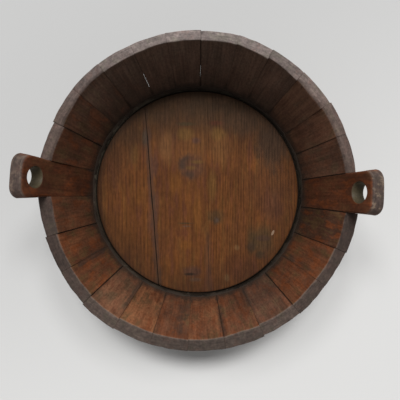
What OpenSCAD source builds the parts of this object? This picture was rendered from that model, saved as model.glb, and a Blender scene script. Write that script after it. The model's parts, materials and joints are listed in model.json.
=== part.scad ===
// Coopered wooden washing tub: splayed staves round a three-board bottom,
// two tall ear staves with carrying holes, and two riveted iron hoops.
// Millimetres. The tub stands on z = 0 with its axis on Z, and the right ear is near +X.

/* [Tub] */
// Outside diameter at the rim
rim_d = 540; // [420:1:680]
// Height of the plain staves
wall_h = 175; // [150:1:260]
// Thickness of a stave, square to its face
wall_t = 17.5; // [13:0.5:22]
// Outward lean of the staves in degrees
splay = 18; // [10:0.5:21]
// Bevel on the inner edge of the staves' feet
foot_bevel = 4; // [1:0.5:6]

/* [Ears] */
// Height of an ear above the rim
ear_h = 60; // [54:1:90]
// Radius of an ear's two top corners
ear_corner_r = 16; // [6:1:20]
// Diameter of the carrying hole
ear_hole_d = 35; // [20:1:38]
// Height of the hole's centre above the rim
ear_hole_rise = 31; // [28:1:36]
// Width of the right ear stave round the rim
right_ear_w = 70; // [60:1:80]
// Width of the left ear stave round the rim
left_ear_w = 65; // [60:1:80]
// Bearing of the right ear's centre in degrees
right_ear_at = -0.9; // [-6:0.1:6]
// Bearing of the left ear's centre in degrees
left_ear_at = 175.5; // [170:0.1:190]

/* [Bottom] */
// Height of the bottom's underside above the floor
chime_h = 22; // [14:1:40]
// Thickness of the bottom boards
bottom_t = 18; // [14:0.5:24]
// Depth of the croze, the groove that holds the bottom
croze_depth = 6; // [4:0.5:8]
// Height of the croze at its mouth
croze_mouth = 12; // [10:0.5:13]
// Height of the croze at its floor
croze_floor = 7; // [5:0.5:8]
// Room between the boards' edge and the croze
seat_gap = 0.3; // [0.1:0.05:0.6]
// Open joint between two boards
board_gap = 0.6; // [0.2:0.1:1.5]
// Where the left board joint crosses the middle of the tub
left_joint_x = -92; // [-110:1:-70]
// Turn of the left board joint in degrees
left_joint_turn = 4.5; // [0:0.1:6]
// Where the right board joint crosses the middle of the tub
right_joint_x = 19; // [0:1:60]
// Turn of the right board joint in degrees
right_joint_turn = 1.2; // [0:0.1:4]
// Diameter of the dowels between the boards
dowel_d = 9; // [6:0.5:10]
// Length of a dowel
dowel_l = 44; // [30:1:60]
// Distance of each dowel from the middle of its joint
dowel_reach = 95; // [60:1:120]
// Room round a dowel in its bore
dowel_gap = 0.1; // [0.05:0.05:0.3]

/* [Pitch seam] */
// How far the seam climbs the wall above the bottom
seam_h = 5; // [3:0.5:10]
// Strip of the bottom's bevel that the seam leaves bare
seam_margin = 1.6; // [0.5:0.1:2.5]

/* [Hoops] */
// Width of the hoop iron
hoop_w = 28; // [18:1:36]
// Thickness of the hoop iron
hoop_t = 1.8; // [1.2:0.1:3]
// Drop from the rim to the upper hoop's upper edge
upper_hoop_drop = 40; // [15:1:60]
// Length of the riveted lap
lap_l = 62; // [46:1:90]
// Bearing of the upper hoop's lap in degrees
upper_lap_at = 250; // [190:1:350]
// Bearing of the lower hoop's lap in degrees
lower_lap_at = 262; // [190:1:350]
// Diameter of a rivet's shank
rivet_d = 5; // [4:0.5:7]
// Diameter of a rivet's head
rivet_head_d = 11; // [9:0.5:13]
// Height of a rivet's head
rivet_head_h = 2.6; // [1.5:0.1:4]
// Distance between the two rivets of a lap
rivet_pitch = 32; // [20:1:34]

/* [Hidden] */
$fn = 96;
wood_brown = [0.36, 0.20, 0.11];
ear_brown = [0.33, 0.17, 0.10];
board_brown = [0.42, 0.25, 0.13];
pitch_grey = [0.20, 0.19, 0.17];
iron_grey = [0.23, 0.21, 0.20];

// Widths of the hand-cut staves in the order they stand, right ear to left ear round the back
back_widths = [67, 59, 68, 65, 62, 65, 61, 62, 64, 59, 65, 66];
// The same from the left ear to the right ear round the front
front_widths = [70, 66, 64, 66, 66, 65, 65, 68, 71, 63, 66, 68];

// Wall: straight slanted faces, so both radii run evenly with height
wall_run = tan(splay);
rim_r = rim_d / 2;
wall_level_t = wall_t / cos(splay);
function wall_out(z) = rim_r - (wall_h - z) * wall_run;
function wall_in(z) = wall_out(z) - wall_level_t;

// Croze and bottom share one mid height
mid_z = chime_h + bottom_t / 2;
top_z = chime_h + bottom_t;
croze_r = wall_in(mid_z) + croze_depth;
croze_up_slope = (croze_mouth - croze_floor) / 2 / (croze_r - wall_in(mid_z + croze_mouth / 2));
croze_down_slope = (croze_mouth - croze_floor) / 2 / (croze_r - wall_in(mid_z - croze_mouth / 2));
head_r = croze_r - seat_gap;
head_top_r = head_r - (bottom_t - croze_floor) / 2 / croze_up_slope;
head_under_r = head_r - (bottom_t - croze_floor) / 2 / croze_down_slope;

// Bearings of the staves' joints
function arc_deg(length, radius) = length / radius * 180 / PI;
right_half = arc_deg(right_ear_w, rim_r) / 2;
left_half = arc_deg(left_ear_w, rim_r) / 2;
back_span = [right_ear_at + right_half, left_ear_at - left_half];
front_span = [left_ear_at + left_half, 360 + right_ear_at - right_half];
function sum_first(widths, n) = n == 0 ? 0 : widths[n - 1] + sum_first(widths, n - 1);
function joint_at(span, widths, n) =
    span[0] + (span[1] - span[0]) * sum_first(widths, n) / sum_first(widths, len(widths));

// Each stave's name carries its place in the row
function two_digits(n) = n < 10 ? str("0", n) : str(n);
function back_name(n) = str("back_stave_", two_digits(n));
function front_name(n) = str("front_stave_", two_digits(n));

// Each hoop is one closed band with a second layer where its ends lap, and the lower one backs the croze
hoop_h = hoop_w * cos(splay);
hoop_level_t = hoop_t / cos(splay);
upper_hoop_z = wall_h - upper_hoop_drop - hoop_h;
lower_hoop_z = mid_z - hoop_h / 2;

// Upright section of a stave of the given height, with its croze and bevelled foot
function stave_section(height) = [
    [wall_in(0) + foot_bevel, 0],
    [wall_out(0), 0],
    [wall_out(height), height],
    [wall_in(height), height],
    [wall_in(mid_z + croze_mouth / 2), mid_z + croze_mouth / 2],
    [croze_r, mid_z + croze_floor / 2],
    [croze_r, mid_z - croze_floor / 2],
    [wall_in(mid_z - croze_mouth / 2), mid_z - croze_mouth / 2],
    [wall_in(foot_bevel), foot_bevel]
];

module stave_blank(from, to, height) {
    rotate([0, 0, from])
        rotate_extrude(angle = to - from)
            polygon(stave_section(height));
}

module plain_stave(span, widths, n) {
    color(wood_brown)
        stave_blank(joint_at(span, widths, n - 1), joint_at(span, widths, n), wall_h);
}

// Outline of an ear stave seen from the tub's axis, with its top corners rounded
module ear_outline(half) {
    tip_z = wall_h + ear_h;
    tip_half_w = (wall_in(tip_z) + wall_out(tip_z)) / 2 * tan(half);
    flat_half_w = tip_half_w - ear_corner_r;
    shoulder_z = tip_z - ear_corner_r;
    translate([-rim_r, 0])
        square([rim_d, shoulder_z]);
    translate([-flat_half_w, 0])
        square([2 * flat_half_w, tip_z]);
    for (side = [-1, 1])
        translate([side * flat_half_w, shoulder_z])
            circle(r = ear_corner_r);
}

module ear_stave(at, half) {
    color(ear_brown)
        rotate([0, 0, at])
            difference() {
                intersection() {
                    stave_blank(-half, half, wall_h + ear_h);
                    rotate([90, 0, 90])
                        linear_extrude(height = rim_d)
                            ear_outline(half);
                }
                translate([0, 0, wall_h + ear_hole_rise])
                    rotate([0, 90, 0])
                        cylinder(d = ear_hole_d, h = rim_d);
            }
}

// The whole bottom before it is sawn into boards, its edge bevelled to suit the croze
module bottom_blank() {
    rotate_extrude()
        polygon([
            [0, chime_h],
            [head_under_r, chime_h],
            [head_r, mid_z - croze_floor / 2],
            [head_r, mid_z + croze_floor / 2],
            [head_top_r, top_z],
            [0, top_z]
        ]);
}

module at_joint(x, turn) {
    translate([x, 0, mid_z])
        rotate([0, 0, turn])
            children();
}

module dowel_pair(x, turn, d, l) {
    at_joint(x, turn)
        for (side = [-1, 1])
            translate([0, side * dowel_reach, 0])
                rotate([0, 90, 0])
                    cylinder(d = d, h = l, center = true);
}

// Everything on one side of a board joint (side is -1 for left of it, 1 for right of it), and its bores
module joint_waste(x, turn, side) {
    at_joint(x, turn)
        translate([side * (rim_r - board_gap / 2), 0, 0])
            cube([rim_d, 2 * rim_d, 2 * bottom_t], center = true);
    dowel_pair(x, turn, dowel_d + 2 * dowel_gap, dowel_l + 2 * dowel_gap);
}

module left_bottom_board() {
    color(board_brown)
        difference() {
            bottom_blank();
            joint_waste(left_joint_x, left_joint_turn, 1);
        }
}

module middle_bottom_board() {
    color(board_brown)
        difference() {
            bottom_blank();
            joint_waste(left_joint_x, left_joint_turn, -1);
            joint_waste(right_joint_x, right_joint_turn, 1);
        }
}

module right_bottom_board() {
    color(board_brown)
        difference() {
            bottom_blank();
            joint_waste(right_joint_x, right_joint_turn, -1);
        }
}

module bottom_dowels() {
    color(board_brown) {
        dowel_pair(left_joint_x, left_joint_turn, dowel_d, dowel_l);
        dowel_pair(right_joint_x, right_joint_turn, dowel_d, dowel_l);
    }
}

// Bead of pitch in the corner between the wall and the bottom's bevel
module pitch_seam() {
    mouth_z = mid_z + croze_mouth / 2;
    mouth_r = wall_in(mouth_z);
    bead_r = head_top_r + seam_margin;
    color(pitch_grey)
        rotate_extrude()
            polygon([
                [bead_r, top_z - seam_margin * croze_up_slope],
                [mouth_r, top_z - (mouth_r - head_top_r) * croze_up_slope],
                [mouth_r, mouth_z],
                [wall_in(top_z + seam_h), top_z + seam_h]
            ]);
}

// Upright section of a band between two level distances off the wall
function hoop_section(z, inner_off, outer_off) = [
    [wall_out(z) + inner_off, z],
    [wall_out(z) + outer_off, z],
    [wall_out(z + hoop_h) + outer_off, z + hoop_h],
    [wall_out(z + hoop_h) + inner_off, z + hoop_h]
];

// Places children at both rivets of a lap, with +Z straight out of the slanted band
module at_rivets(z, lap_at) {
    rivet_z = z + hoop_h / 2;
    rivet_r = wall_out(rivet_z);
    half_pitch = arc_deg(rivet_pitch, rivet_r) / 2;
    for (side = [-1, 1])
        rotate([0, 0, lap_at + side * half_pitch])
            translate([rivet_r, 0, rivet_z])
                rotate([0, 90 + splay, 0])
                    children();
}

module hoop(z, lap_at) {
    lap_deg = arc_deg(lap_l, wall_out(z + hoop_h / 2));
    color(iron_grey)
        difference() {
            union() {
                rotate_extrude()
                    polygon(hoop_section(z, 0, hoop_level_t));
                rotate([0, 0, lap_at - lap_deg / 2])
                    rotate_extrude(angle = lap_deg)
                        polygon(hoop_section(z, hoop_level_t / 2, 2 * hoop_level_t));
            }
            at_rivets(z, lap_at)
                cylinder(d = rivet_d, h = 6 * hoop_t, center = true);
        }
}

// Shank through both layers, and a domed head outside them
module rivet() {
    grip = 2 * hoop_t;
    dome_r = (pow(rivet_head_h, 2) + pow(rivet_head_d / 2, 2)) / (2 * rivet_head_h);
    cylinder(d = rivet_d, h = grip);
    translate([0, 0, grip])
        intersection() {
            cylinder(d = rivet_head_d, h = rivet_head_h);
            translate([0, 0, rivet_head_h - dome_r])
                sphere(r = dome_r);
        }
}

module hoop_rivets(z, lap_at) {
    color(iron_grey)
        at_rivets(z, lap_at)
            rivet();
}

ear_stave(right_ear_at, right_half);  // right_ear_stave
ear_stave(left_ear_at, left_half);  // left_ear_stave
for (n = [1:len(back_widths)])
    plain_stave(back_span, back_widths, n);
for (n = [1:len(front_widths)])
    plain_stave(front_span, front_widths, n);
left_bottom_board();
middle_bottom_board();
right_bottom_board();
bottom_dowels();
pitch_seam();
hoop(upper_hoop_z, upper_lap_at);  // upper_hoop
hoop(lower_hoop_z, lower_lap_at);  // lower_hoop
hoop_rivets(upper_hoop_z, upper_lap_at);  // upper_hoop_rivets
hoop_rivets(lower_hoop_z, lower_lap_at);  // lower_hoop_rivets
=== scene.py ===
"""Washing tub: worn staves, boards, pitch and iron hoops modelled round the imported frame."""

import json
import math

import bmesh
import bpy
import numpy as np
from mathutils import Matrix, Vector


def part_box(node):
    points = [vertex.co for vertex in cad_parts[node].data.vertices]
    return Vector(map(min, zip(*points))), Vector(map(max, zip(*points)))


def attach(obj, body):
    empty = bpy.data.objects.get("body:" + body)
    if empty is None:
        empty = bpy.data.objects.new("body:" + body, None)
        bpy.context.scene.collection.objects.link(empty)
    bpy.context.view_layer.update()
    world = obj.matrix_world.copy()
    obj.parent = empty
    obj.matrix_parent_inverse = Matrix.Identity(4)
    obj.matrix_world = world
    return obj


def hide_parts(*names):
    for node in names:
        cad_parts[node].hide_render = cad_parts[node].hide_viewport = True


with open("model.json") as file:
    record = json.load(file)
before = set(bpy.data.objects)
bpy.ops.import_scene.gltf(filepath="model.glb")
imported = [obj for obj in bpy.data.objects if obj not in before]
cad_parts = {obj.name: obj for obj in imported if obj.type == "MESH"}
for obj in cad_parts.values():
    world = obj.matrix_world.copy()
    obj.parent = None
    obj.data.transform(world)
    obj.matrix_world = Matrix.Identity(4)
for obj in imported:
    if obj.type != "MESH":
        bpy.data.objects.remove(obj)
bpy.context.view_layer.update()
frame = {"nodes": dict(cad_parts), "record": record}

MM = 0.001
TINY = 0.05 * MM


# Sizes that the frame gives

def points(node):
    """Corner points of a CAD node, one row each."""
    mesh = frame["nodes"][node].data
    co = np.empty(3 * len(mesh.vertices), np.float32)
    mesh.vertices.foreach_get("co", co)
    return co.reshape(-1, 3).astype(float)


def radii(p):
    return np.hypot(p[:, 0], p[:, 1])


def turned(bearing, start):
    """Turn from a start to a bearing, at most half a turn either way, in radians."""
    return (bearing - start + math.pi) % (2 * math.pi) - math.pi


def bearing_span(p):
    """First and last bearing of some points round the tub's axis, in radians."""
    middle = math.atan2(p[:, 1].mean(), p[:, 0].mean())
    turn = turned(np.arctan2(p[:, 1], p[:, 0]), middle)
    return middle + turn.min(), middle + turn.max()


stave_points = points("front_stave_06")
stave_r = radii(stave_points)
levels = np.unique(np.round(stave_points[:, 2] / MM, 2)) * MM
# The top of the foot's bevel, then the croze's mouth, floor, floor and mouth
CUT_LEVELS, RIM_Z = levels[1:6], levels[-1]
FOOT_BEVEL_Z, _, FLOOR_LOW, FLOOR_HIGH, _ = CUT_LEVELS
RIM_OUT = stave_r[stave_points[:, 2] > RIM_Z - TINY].max()
RIM_IN = stave_r[stave_points[:, 2] > RIM_Z - TINY].min()
FOOT_OUT = stave_r[stave_points[:, 2] < TINY].max()
CROZE_R = stave_r[np.abs(stave_points[:, 2] - FLOOR_LOW) < TINY].min()
LEAN = (RIM_OUT - FOOT_OUT) / RIM_Z
LEVEL_T = RIM_OUT - RIM_IN
UPPER_HOOP_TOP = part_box("upper_hoop")[1].z
BOTTOM_LOW, BOTTOM_TOP = (corner.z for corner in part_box("middle_bottom_board"))


def wall_in(z):
    return RIM_IN - (RIM_Z - z) * LEAN


def wall_out(z):
    return wall_in(z) + LEVEL_T


def wall_mid(z):
    return wall_in(z) + LEVEL_T / 2


# Meshes

HASH_AXES, HASH_SEED, HASH_GAIN = np.array([127.1, 311.7, 74.7]), 53.3, 43758.5453


def smooth_step(value, low, high):
    """0 at low and 1 at high, smooth between; low may be the larger."""
    t = np.clip((value - low) / (high - low), 0, 1)
    return t * t * (3 - 2 * t)


def rise(value, low, high, base=0.0):
    """The same with low and high in mm above a base."""
    return smooth_step(value, base + low * MM, base + high * MM)


def blend(a, b, share):
    return a + (b - a) * share


def lumps(p, size, seed):
    """Smooth noise from -1 to 1 at points p, with lumps of about the given size."""
    p = np.asarray(p, float) / size
    cell = np.floor(p).astype(np.int64)
    t = p - cell
    t = t * t * (3 - 2 * t)
    total = np.zeros(len(p))
    for corner in np.ndindex(2, 2, 2):
        share = np.prod(np.where(corner, t, 1 - t), axis=1)
        key = (cell + corner) @ HASH_AXES + HASH_SEED * seed
        total += share * (2 * np.modf(np.abs(np.sin(key) * HASH_GAIN))[0] - 1)
    return total


def uneven(p, seed, high, wide):
    """Offsets at points p from lumps so many mm high and wide."""
    return high * MM * lumps(p, wide * MM, seed)


def steps(length, pitch, near_edge):
    """Places from 0 to length about a pitch apart, with closer ones near both ends."""
    near = np.asarray(near_edge)
    inner = length - 2 * near[-1]
    middle = near[-1] + inner * np.linspace(0, 1, max(2, round(inner / pitch) + 1))
    return np.concatenate((near[:-1], middle, length - near[:-1][::-1]))


def triples(*columns):
    """Rows of three, where a bare number fills its column."""
    return np.column_stack(np.broadcast_arrays(*columns))


def round_the_axis(bearing, r, z):
    return triples(r * np.cos(bearing), r * np.sin(bearing), z)


def box_grid(us, vs, ws):
    """Grid points on the six sides of a box, and its quads."""
    shape = len(us), len(vs), len(ws)
    outside = np.zeros(shape, bool)
    outside[[0, -1]] = outside[:, [0, -1]] = outside[:, :, [0, -1]] = True
    index = np.full(shape, -1)
    index[outside] = np.arange(outside.sum())
    i, j, k = np.nonzero(outside)
    quads = []
    for axis in range(3):
        for end in (0, -1):
            side = np.take(index, end, axis)
            corners = side[:-1, :-1], side[1:, :-1], side[1:, 1:], side[:-1, 1:]
            quads.append(np.stack(corners, -1).reshape(-1, 4))
    return triples(us[i], vs[j], ws[k]), np.concatenate(quads)


def rounded(p, low, high, radius):
    """Box points with the edges rounded to a radius along each axis, and the way that each one faces."""
    core = np.clip(p, low + radius, high - radius)
    out = (p - core) / radius
    way = out / np.linalg.norm(out, axis=1, keepdims=True)
    return core + way * radius, way


def make_piece(name, co, faces, material, slot, node, **fields):
    """A smooth mesh that rides on the tub, stands for a CAD node and carries fields for its material."""
    mesh = bpy.data.meshes.new(name)
    mesh.from_pydata(co.tolist(), [], [list(map(int, face)) for face in faces])
    for field, columns in fields.items():
        layer = mesh.attributes.new(field, "FLOAT_VECTOR", "POINT")
        values = np.column_stack(np.broadcast_arrays(*columns, co[:, 0])[:3])
        layer.data.foreach_set("vector", values.astype(np.float32).ravel())
    work = bmesh.new()
    work.from_mesh(mesh)
    bmesh.ops.recalc_face_normals(work, faces=work.faces)
    work.to_mesh(mesh)
    work.free()
    mesh.polygons.foreach_set("use_smooth", [True] * len(mesh.polygons))
    mesh.materials.append(material)
    piece = bpy.data.objects.new(name, mesh)
    bpy.context.scene.collection.objects.link(piece)
    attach(piece, "root")
    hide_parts(node)


# Materials

BUMP_STRENGTH = 0.8


class Graph:
    """Short ways to add and join the nodes of a material or a world."""

    def __init__(self, name, kind="materials"):
        self.owner = getattr(bpy.data, kind).new(name)
        self.owner.use_nodes = True
        self.tree = self.owner.node_tree

    def put(self, socket, value):
        if isinstance(value, bpy.types.NodeSocket):
            self.tree.links.new(value, socket)
        elif isinstance(value, tuple) and socket.type == "RGBA":
            socket.default_value = (*value, 1)
        else:
            socket.default_value = value

    def node(self, kind, inputs, **settings):
        made = self.tree.nodes.new("ShaderNode" + kind)
        for key, value in settings.items():
            setattr(made, key, value)
        for key, value in inputs.items():
            self.put(made.inputs[key], value)
        return made

    def set(self, shader="Principled BSDF", **inputs):
        """Joins or sets a shader's inputs, named with _ for each space."""
        for key, value in inputs.items():
            self.put(self.tree.nodes[shader].inputs[key.replace("_", " ")], value)

    def field(self, name):
        return self.node("Attribute", {}, attribute_name=name).outputs["Vector"]

    def place(self):
        return self.node("TexCoord", {}).outputs["Object"]

    def split(self, vector):
        return self.node("SeparateXYZ", {0: vector}).outputs

    def join(self, x, y, z):
        return self.node("CombineXYZ", {0: x, 1: y, 2: z}).outputs[0]

    def stretch(self, vector, x, y, z):
        return self.node("VectorMath", {0: vector, 1: (x, y, z)}, operation="MULTIPLY").outputs[0]

    def off_axis(self, vector):
        """How far from the z axis a vector reaches."""
        flat = self.stretch(vector, 1, 1, 0)
        return self.node("VectorMath", {0: flat}, operation="LENGTH").outputs["Value"]

    def math(self, operation, a, b, c=0.0):
        return self.node("Math", {0: a, 1: b, 2: c}, operation=operation).outputs[0]

    def chain(self, operation, parts):
        """Joins values two at a time, from the last one back."""
        total = parts[-1]
        for part in parts[-2::-1]:
            total = self.math(operation, part, total)
        return total

    def add(self, *parts):
        return self.chain("ADD", parts)

    def times(self, *parts):
        return self.chain("MULTIPLY", parts)

    def most(self, *parts):
        return self.chain("MAXIMUM", parts)

    def fade(self, value, low, high):
        """0 at low and 1 at high, smooth between; low may be the larger."""
        inputs = {"Value": value, "From Min": low, "From Max": high}
        return self.node("MapRange", inputs, interpolation_type="SMOOTHSTEP").outputs[0]

    def rise(self, value, low, high):
        """The same with low and high in mm."""
        return self.fade(value, low * MM, high * MM)

    def span(self, value, low, high):
        """Takes 0..1 to low..high."""
        return self.math("MULTIPLY_ADD", value, high - low, low)

    def wobble(self, value, most):
        """Takes 0..1 to -most..most."""
        return self.span(value, -most, most)

    def vary(self, value, share):
        """Takes 0..1 to a factor up to a share under or over 1."""
        return self.span(value, 1 - share, 1 + share)

    def noise(self, vector, x, y, z, detail=3.0, roughness=0.55):
        """Noise from 0 to 1 with x, y and z lumps to the metre."""
        spot = self.stretch(vector, x, y, z)
        inputs = {"Vector": spot, "Scale": 1.0, "Detail": detail, "Roughness": roughness}
        return self.node("TexNoise", inputs).outputs[0]

    def mix(self, share, a, b):
        return self.node("Mix", {0: share, 6: a, 7: b}, data_type="RGBA").outputs[2]

    def scale(self, colour, factor):
        return self.node("VectorMath", {0: colour, "Scale": factor}, operation="SCALE").outputs[0]

    def ramp(self, value, stops):
        """Colour for a value, from (value, colour) stops."""
        made = self.node("ValToRGB", {0: value})
        elements = made.color_ramp.elements
        elements.remove(elements[1])
        elements[0].position, elements[0].color = stops[0][0], (*stops[0][1], 1)
        for position, colour in stops[1:]:
            elements.new(position).color = (*colour, 1)
        return made.outputs[0]

    def off_mark(self, place, x, y, wide, tall, turn):
        """How far off a mark's centre a place on the bottom is, with 1 at its half width and height."""
        inputs = {"Vector": place, "Location": (x * MM, y * MM, 0.0),
                  "Rotation": (0, 0, math.radians(turn)), "Scale": (wide * MM, tall * MM, 1)}
        return self.off_axis(self.node("Mapping", inputs, vector_type="TEXTURE").outputs[0])

    def bump(self, height, depth):
        inputs = {"Height": height, "Distance": depth, "Strength": BUMP_STRENGTH}
        return self.node("Bump", inputs).outputs[0]


# Colours of the staves; a pair is the darkest and the palest
DIRT_AND_SHADE, GRIME, FOOT_DIRT = (0.016, 0.011, 0.008), (0.046, 0.034, 0.027), (0.024, 0.019, 0.015)
RED_WOOD, OLIVE_WOOD, GREY_WOOD_AND_SHEEN = (0.146, 0.043, 0.015), (0.095, 0.056, 0.024), (0.114, 0.082, 0.064)
OLD_WOOD = (0.045, 0.028, 0.020), (0.15, 0.10, 0.07)
BORE_WOOD = (0.034, 0.026, 0.015), (0.104, 0.082, 0.046)
BARE_TAN, SHADED_RIM_EDGE, RUBBED_AND_LIT_EDGE = (0.215, 0.155, 0.105), (0.046, 0.028, 0.021), (0.165, 0.124, 0.098)
# Colours by warmth, and the rim's from the front (0) to the back (1), partly bleached wood and partly painted
# light
STAVE_TONES = ((0.0, (0.060, 0.028, 0.017)), (0.35, (0.105, 0.041, 0.021)),
               (0.65, (0.160, 0.060, 0.027)), (1.0, (0.225, 0.090, 0.038)))
EAR_TONES = ((0.0, (0.045, 0.018, 0.011)), (0.35, (0.080, 0.029, 0.015)),
             (0.65, (0.125, 0.043, 0.020)), (1.0, (0.180, 0.065, 0.028)))
BOARD_TONES = ((0.0, (0.056, 0.021, 0.0085)), (0.4, (0.098, 0.037, 0.0125)),
               (0.7, (0.138, 0.051, 0.0145)), (1.0, (0.195, 0.076, 0.019)))
RIM_TONES_AND_LIGHT = ((0.0, (0.060, 0.044, 0.036)), (0.3, (0.054, 0.036, 0.029)),
             (0.75, (0.108, 0.075, 0.063)), (1.0, (0.203, 0.165, 0.153)))


def stave_material(name, tones, end_shade, rub_and_highlight_share, olive_share):
    """Old oiled wood with dark joints, smears of grime, a weathered outside and a rim worn to bare taupe,
    with painted light: shade low down, a sheen on the back staves, a rim paler at the back, a highlight on
    the front's inner rim edge and shade on the back's.
    """
    g = Graph(name)
    grain = g.field("grain")
    tone, grey, smear = g.split(g.field("look"))
    end, outside, seam = g.split(g.field("side"))
    worn, joint, bore = g.split(g.field("wear"))
    rim_shade, rim_joint, tan = g.split(g.field("edge"))
    _, y, height = g.split(g.place())
    cloud = g.noise(grain, 28, 16, 28)
    hue = g.noise(grain, 62, 26, 62, 4, 0.6)
    blotch = g.noise(grain, 100, 65, 100, 4, 0.6)
    mottle = g.noise(grain, 260, 190, 260, 2)
    streak = g.noise(grain, 220, 9, 180, 3, 0.6)
    fine = g.noise(grain, 450, 16, 400, 3, 0.6)

    body = g.ramp(g.add(tone, g.wobble(cloud, 0.6), g.wobble(blotch, 0.3)), tones)
    clouded = g.vary(cloud, 0.6)
    body = g.mix(g.times(g.fade(hue, 0.50, 0.64), 0.8), body, g.scale(RED_WOOD, clouded))
    body = g.mix(g.times(g.fade(hue, 0.50, 0.34), olive_share), body, g.scale(OLIVE_WOOD, clouded))
    # Grey wood, on the back staves with a painted sheen in it
    body = g.mix(grey, body, g.scale(GREY_WOOD_AND_SHEEN, g.vary(cloud, 0.5)))
    # Painted shade: the wood darker towards the bottom of the tub
    body = g.scale(body, g.span(g.rise(height, 55, 145), 0.68, 1.0))
    grains = g.times(g.vary(streak, 0.55), g.vary(fine, 0.3), g.vary(mottle, 0.5))
    body = g.scale(body, grains)
    body = g.mix(g.times(g.fade(blotch, 0.64, 0.76), 0.5), body, DIRT_AND_SHADE)
    grime = g.fade(g.add(smear, g.wobble(blotch, 1.1), g.wobble(mottle, 0.4)), 0.25, 0.95)
    body = g.mix(g.times(grime, 0.85), body, g.mix(0.5, g.scale(body, 0.45), g.scale(GRIME, grains)))
    foot = g.rise(g.add(height, g.wobble(blotch, 14 * MM)), 64, 46)
    fan_edge = g.add(g.math("MULTIPLY_ADD", height, 0.30, seam), g.wobble(blotch, 6 * MM))
    fan = g.times(g.rise(fan_edge, 25.5, 17.5), g.span(outside, 1, 0))
    body = g.mix(g.times(g.most(foot, fan), 0.72), body, FOOT_DIRT)
    aged = g.scale(g.mix(fine, *OLD_WOOD), g.span(tone, 0.70, 1.35))
    body = g.mix(g.times(outside, g.span(cloud, 0.2, 0.8)), body, aged)

    scratch = g.noise(grain, 40, 40, 900, 3, 0.6)
    # Painted light with some bleaching: the rim dark at the front and pale at the back
    rim = g.ramp(g.math("MULTIPLY_ADD", y, 0.5 / RIM_OUT, 0.5), RIM_TONES_AND_LIGHT)
    rim = g.mix(g.times(g.fade(hue, 0.48, 0.32), 0.5), rim, g.stretch(rim, 0.92, 1.04, 0.88))
    rim = g.mix(g.times(g.fade(hue, 0.52, 0.68), 0.5), rim, g.stretch(rim, 1.12, 0.90, 0.84))
    rim = g.mix(g.times(g.fade(blotch, 0.50, 0.64), tan), rim, BARE_TAN)
    # Painted shade on the inner rim edge of the back staves, which faces away from the lamps
    soft = g.fade(g.add(worn, g.wobble(blotch, 0.3)), -0.15, -1.0)
    rim = g.mix(g.times(soft, 0.7), rim, SHADED_RIM_EDGE)
    rubbed = g.times(g.vary(mottle, 0.6), g.vary(scratch, 0.7), g.vary(blotch, 0.75))
    body = g.mix(end, body, g.scale(rim, g.times(rubbed, rim_shade, end_shade)))
    # Pale rubbed edges: worn wood, and on the front staves' inner rim edge, which faces the lamps, a painted
    # highlight as well
    rub = g.fade(g.add(worn, g.wobble(blotch, 1.2)), 0.5, 1.1)
    body = g.mix(g.times(rub, rub_and_highlight_share), body, RUBBED_AND_LIT_EDGE)
    body = g.mix(bore, body, g.mix(fine, *BORE_WOOD))

    reach = g.span(g.noise(grain, 60, 40, 60), 0.3 * MM, 3.0 * MM)
    line = g.fade(g.math("DIVIDE", seam, reach), 1.2, 0.3)
    dark = g.add(g.times(joint, g.span(end, 0.9, 0.0)), g.times(rim_joint, end, 0.5))
    body = g.mix(g.times(line, dark), body, DIRT_AND_SHADE)

    rough = g.add(g.span(blotch, 0.44, 0.62), g.times(g.most(outside, g.times(end, 2.0)), 0.12))
    relief = g.add(g.times(streak, 0.5), g.times(fine, 0.35), g.times(blotch, 0.8))
    g.set(Base_Color=body, Roughness=rough, Normal=g.bump(relief, 0.4 * MM), Specular_IOR_Level=0.2)
    return g.owner


# Colours of the boards; a pair is the darkest and the palest
PLUM_WOOD, GOLD_WOOD, BOARD_UNDER = (0.092, 0.033, 0.020), (0.118, 0.055, 0.017), (0.085, 0.060, 0.042)
DUST_SHADE_AND_LIGHT, SEAM_STAIN = ((0.041, 0.025, 0.014), (0.072, 0.047, 0.031)), (0.048, 0.032, 0.027)
# What the noise that frays a mark's edge comes to on average
FRAY_MIDDLE = 1.3


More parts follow.
